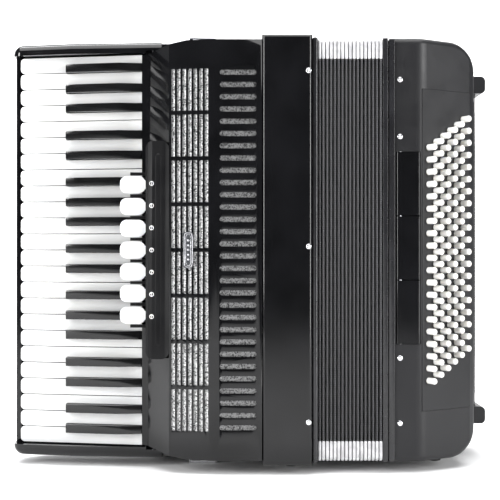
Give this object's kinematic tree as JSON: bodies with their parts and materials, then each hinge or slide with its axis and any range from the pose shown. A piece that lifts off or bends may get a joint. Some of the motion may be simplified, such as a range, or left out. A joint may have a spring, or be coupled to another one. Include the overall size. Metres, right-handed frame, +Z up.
{
  "type": "piano accordion",
  "caption": "Full-size piano accordion, closed, with keyboard, slotted grille, register switches, pleated bellows, slanted bass button board and palm strap.",
  "frame": {"origin": "centre of the whole box, at the floor that the feet stand on", "axes": "+Z up in playing position, +X from the keyboard to the bass side, -Y faces the audience"},
  "size_m": [0.583, 0.2124, 0.5187],
  "materials": {
    "black_celluloid": "gloss",
    "register_black": "gloss",
    "bass_grey": "satin",
    "white_key": "gloss",
    "black_key": "gloss",
    "switch_white": "gloss",
    "button_ivory": "gloss",
    "silver_mesh": "glitter",
    "chrome": "polished",
    "steel": "satin",
    "wood": "raw",
    "machine_alloy": "satin",
    "bellows_cloth": "woven",
    "corner_tape": "pale",
    "frame_black": "satin",
    "leather": "grained",
    "foot_rubber": "matt"
  },
  "bodies": {
    "treble": {"keyboard_body": "black_celluloid", "key_axle": "steel", "key_springs": "steel", "treble_casing": "black_celluloid", "back_cover": "black_celluloid", "treble_soundboard": "wood", "treble_reed_blocks": "wood", "grille_cover": "black_celluloid", "grille_mesh": "silver_mesh", "badge": "chrome", "register_unit": "register_black", "bellows_folds": "bellows_cloth", "bellows_corners": "corner_tape", "treble_bellows_frame": "frame_black", "strap_brackets": "chrome", "treble_feet": "foot_rubber", "treble_pins": "chrome", "back_pads": "leather"},
    "bass": {"bass_bellows_frame": "frame_black", "bass_casing": "bass_grey", "bass_end_plate": "bass_grey", "button_board": "bass_grey", "bass_mechanism": "machine_alloy", "bass_register_rod": "steel", "bass_soundboard": "wood", "bass_reed_blocks": "wood", "strap_housings": "bass_grey", "bass_strap": "leather", "bass_feet": "foot_rubber", "bass_pins": "chrome"},
    "keys_a": {"keys_a": "white_key"},
    "keys_a_sharp": {"keys_a_sharp": "black_key"},
    "keys_b": {"keys_b": "white_key"},
    "keys_c": {"keys_c": "white_key"},
    "keys_c_sharp": {"keys_c_sharp": "black_key"},
    "keys_d": {"keys_d": "white_key"},
    "keys_d_sharp": {"keys_d_sharp": "black_key"},
    "keys_e": {"keys_e": "white_key"},
    "keys_f": {"keys_f": "white_key"},
    "keys_f_sharp": {"keys_f_sharp": "black_key"},
    "keys_g": {"keys_g": "white_key"},
    "keys_g_sharp": {"keys_g_sharp": "black_key"},
    "register_switch_1": {"register_switch_1": "switch_white"},
    "register_switch_2": {"register_switch_2": "switch_white"},
    "register_switch_3": {"register_switch_3": "switch_white"},
    "register_switch_4": {"register_switch_4": "switch_white"},
    "register_switch_5": {"register_switch_5": "switch_white"},
    "register_switch_6": {"register_switch_6": "switch_white"},
    "register_switch_7": {"register_switch_7": "switch_white"},
    "bass_buttons_counterbass": {"bass_buttons_counterbass": "button_ivory"},
    "bass_buttons_root": {"bass_buttons_root": "button_ivory"},
    "bass_buttons_major": {"bass_buttons_major": "button_ivory"},
    "bass_buttons_minor": {"bass_buttons_minor": "button_ivory"},
    "bass_buttons_seventh": {"bass_buttons_seventh": "button_ivory"},
    "bass_buttons_diminished": {"bass_buttons_diminished": "button_ivory"},
    "bass_register_bar_1": {"bass_register_bar_1": "register_black"},
    "bass_register_bar_2": {"bass_register_bar_2": "register_black"},
    "bass_register_bar_3": {"bass_register_bar_3": "register_black"},
    "strap_wheel": {"strap_wheel": "chrome"},
    "air_button": {"air_button": "button_ivory"}
  },
  "joints": [
    {"name": "bellows_slide", "type": "slide", "parent": "treble", "child": "bass", "axis": [1, 0, 0], "range_m": [0, 0.38], "deforming": ["bellows_folds", "bellows_corners"]},
    {"name": "keys_a_press", "type": "hinge", "parent": "treble", "child": "keys_a", "pos_m": [-0.1205, -0.046, 0.2595], "axis": [0, 0, -1], "range_deg": [0, 1.7], "stiffness_Nm_per_rad": 8, "springref_deg": -3.44},
    {"name": "keys_a_sharp_press", "type": "hinge", "parent": "treble", "child": "keys_a_sharp", "pos_m": [-0.1205, -0.046, 0.2595], "axis": [0, 0, -1], "range_deg": [0, 1.7], "stiffness_Nm_per_rad": 8, "springref_deg": -3.44},
    {"name": "keys_b_press", "type": "hinge", "parent": "treble", "child": "keys_b", "pos_m": [-0.1205, -0.046, 0.2595], "axis": [0, 0, -1], "range_deg": [0, 1.7], "stiffness_Nm_per_rad": 8, "springref_deg": -3.44},
    {"name": "keys_c_press", "type": "hinge", "parent": "treble", "child": "keys_c", "pos_m": [-0.1205, -0.046, 0.2595], "axis": [0, 0, -1], "range_deg": [0, 1.7], "stiffness_Nm_per_rad": 8, "springref_deg": -3.44},
    {"name": "keys_c_sharp_press", "type": "hinge", "parent": "treble", "child": "keys_c_sharp", "pos_m": [-0.1205, -0.046, 0.2595], "axis": [0, 0, -1], "range_deg": [0, 1.7], "stiffness_Nm_per_rad": 8, "springref_deg": -3.44},
    {"name": "keys_d_press", "type": "hinge", "parent": "treble", "child": "keys_d", "pos_m": [-0.1205, -0.046, 0.2595], "axis": [0, 0, -1], "range_deg": [0, 1.7], "stiffness_Nm_per_rad": 8, "springref_deg": -3.44},
    {"name": "keys_d_sharp_press", "type": "hinge", "parent": "treble", "child": "keys_d_sharp", "pos_m": [-0.1205, -0.046, 0.2595], "axis": [0, 0, -1], "range_deg": [0, 1.7], "stiffness_Nm_per_rad": 8, "springref_deg": -3.44},
    {"name": "keys_e_press", "type": "hinge", "parent": "treble", "child": "keys_e", "pos_m": [-0.1205, -0.046, 0.2595], "axis": [0, 0, -1], "range_deg": [0, 1.7], "stiffness_Nm_per_rad": 8, "springref_deg": -3.44},
    {"name": "keys_f_press", "type": "hinge", "parent": "treble", "child": "keys_f", "pos_m": [-0.1205, -0.046, 0.2595], "axis": [0, 0, -1], "range_deg": [0, 1.7], "stiffness_Nm_per_rad": 8, "springref_deg": -3.44},
    {"name": "keys_f_sharp_press", "type": "hinge", "parent": "treble", "child": "keys_f_sharp", "pos_m": [-0.1205, -0.046, 0.2595], "axis": [0, 0, -1], "range_deg": [0, 1.7], "stiffness_Nm_per_rad": 8, "springref_deg": -3.44},
    {"name": "keys_g_press", "type": "hinge", "parent": "treble", "child": "keys_g", "pos_m": [-0.1205, -0.046, 0.2595], "axis": [0, 0, -1], "range_deg": [0, 1.7], "stiffness_Nm_per_rad": 8, "springref_deg": -3.44},
    {"name": "keys_g_sharp_press", "type": "hinge", "parent": "treble", "child": "keys_g_sharp", "pos_m": [-0.1205, -0.046, 0.2595], "axis": [0, 0, -1], "range_deg": [0, 1.7], "stiffness_Nm_per_rad": 8, "springref_deg": -3.44},
    {"name": "register_switch_1_press", "type": "hinge", "parent": "treble", "child": "register_switch_1", "pos_m": [-0.1215, -0.071, 0.3366], "axis": [0, 0, -1], "range_deg": [0, 6], "stiffness_Nm_per_rad": 0.5, "springref_deg": -11.46},
    {"name": "register_switch_2_press", "type": "hinge", "parent": "treble", "child": "register_switch_2", "pos_m": [-0.1215, -0.071, 0.3109], "axis": [0, 0, -1], "range_deg": [0, 6], "stiffness_Nm_per_rad": 0.5, "springref_deg": -11.46},
    {"name": "register_switch_3_press", "type": "hinge", "parent": "treble", "child": "register_switch_3", "pos_m": [-0.1215, -0.071, 0.2852], "axis": [0, 0, -1], "range_deg": [0, 6], "stiffness_Nm_per_rad": 0.5, "springref_deg": -11.46},
    {"name": "register_switch_4_press", "type": "hinge", "parent": "treble", "child": "register_switch_4", "pos_m": [-0.1215, -0.071, 0.2595], "axis": [0, 0, -1], "range_deg": [0, 6], "stiffness_Nm_per_rad": 0.5, "springref_deg": -11.46},
    {"name": "register_switch_5_press", "type": "hinge", "parent": "treble", "child": "register_switch_5", "pos_m": [-0.1215, -0.071, 0.2338], "axis": [0, 0, -1], "range_deg": [0, 6], "stiffness_Nm_per_rad": 0.5, "springref_deg": -11.46},
    {"name": "register_switch_6_press", "type": "hinge", "parent": "treble", "child": "register_switch_6", "pos_m": [-0.1215, -0.071, 0.2081], "axis": [0, 0, -1], "range_deg": [0, 6], "stiffness_Nm_per_rad": 0.5, "springref_deg": -11.46},
    {"name": "register_switch_7_press", "type": "hinge", "parent": "treble", "child": "register_switch_7", "pos_m": [-0.1215, -0.071, 0.1824], "axis": [0, 0, -1], "range_deg": [0, 6], "stiffness_Nm_per_rad": 0.5, "springref_deg": -11.46},
    {"name": "counterbass_press", "type": "slide", "parent": "bass", "child": "bass_buttons_counterbass", "axis": [-0.5255, 0.8508, 0], "range_m": [0, 0.0045], "stiffness_N_per_m": 400, "springref_m": -0.003},
    {"name": "root_press", "type": "slide", "parent": "bass", "child": "bass_buttons_root", "axis": [-0.5255, 0.8508, 0], "range_m": [0, 0.0045], "stiffness_N_per_m": 400, "springref_m": -0.003},
    {"name": "major_press", "type": "slide", "parent": "bass", "child": "bass_buttons_major", "axis": [-0.5255, 0.8508, 0], "range_m": [0, 0.0045], "stiffness_N_per_m": 400, "springref_m": -0.003},
    {"name": "minor_press", "type": "slide", "parent": "bass", "child": "bass_buttons_minor", "axis": [-0.5255, 0.8508, 0], "range_m": [0, 0.0045], "stiffness_N_per_m": 400, "springref_m": -0.003},
    {"name": "seventh_press", "type": "slide", "parent": "bass", "child": "bass_buttons_seventh", "axis": [-0.5255, 0.8508, 0], "range_m": [0, 0.0045], "stiffness_N_per_m": 400, "springref_m": -0.003},
    {"name": "diminished_press", "type": "slide", "parent": "bass", "child": "bass_buttons_diminished", "axis": [-0.5255, 0.8508, 0], "range_m": [0, 0.0045], "stiffness_N_per_m": 400, "springref_m": -0.003},
    {"name": "bass_register_bar_1_press", "type": "hinge", "parent": "bass", "child": "bass_register_bar_1", "pos_m": [0.1715, -0.0915, 0.33648], "axis": [0, 0, 1], "range_deg": [0, 4.5], "stiffness_Nm_per_rad": 0.5, "springref_deg": -11.46},
    {"name": "bass_register_bar_2_press", "type": "hinge", "parent": "bass", "child": "bass_register_bar_2", "pos_m": [0.1715, -0.0915, 0.26185], "axis": [0, 0, 1], "range_deg": [0, 4.5], "stiffness_Nm_per_rad": 0.5, "springref_deg": -11.46},
    {"name": "bass_register_bar_3_press", "type": "hinge", "parent": "bass", "child": "bass_register_bar_3", "pos_m": [0.1715, -0.0915, 0.18722], "axis": [0, 0, 1], "range_deg": [0, 4.5], "stiffness_Nm_per_rad": 0.5, "springref_deg": -11.46},
    {"name": "strap_wheel_turn", "type": "hinge", "parent": "bass", "child": "strap_wheel", "pos_m": [0.279, 0.095, 0.46675], "axis": [0, 1, 0], "continuous": true},
    {"name": "air_button_press", "type": "slide", "parent": "bass", "child": "air_button", "axis": [-1, 0, 0], "range_m": [0, 0.005], "stiffness_N_per_m": 500, "springref_m": -0.003}
  ]
}
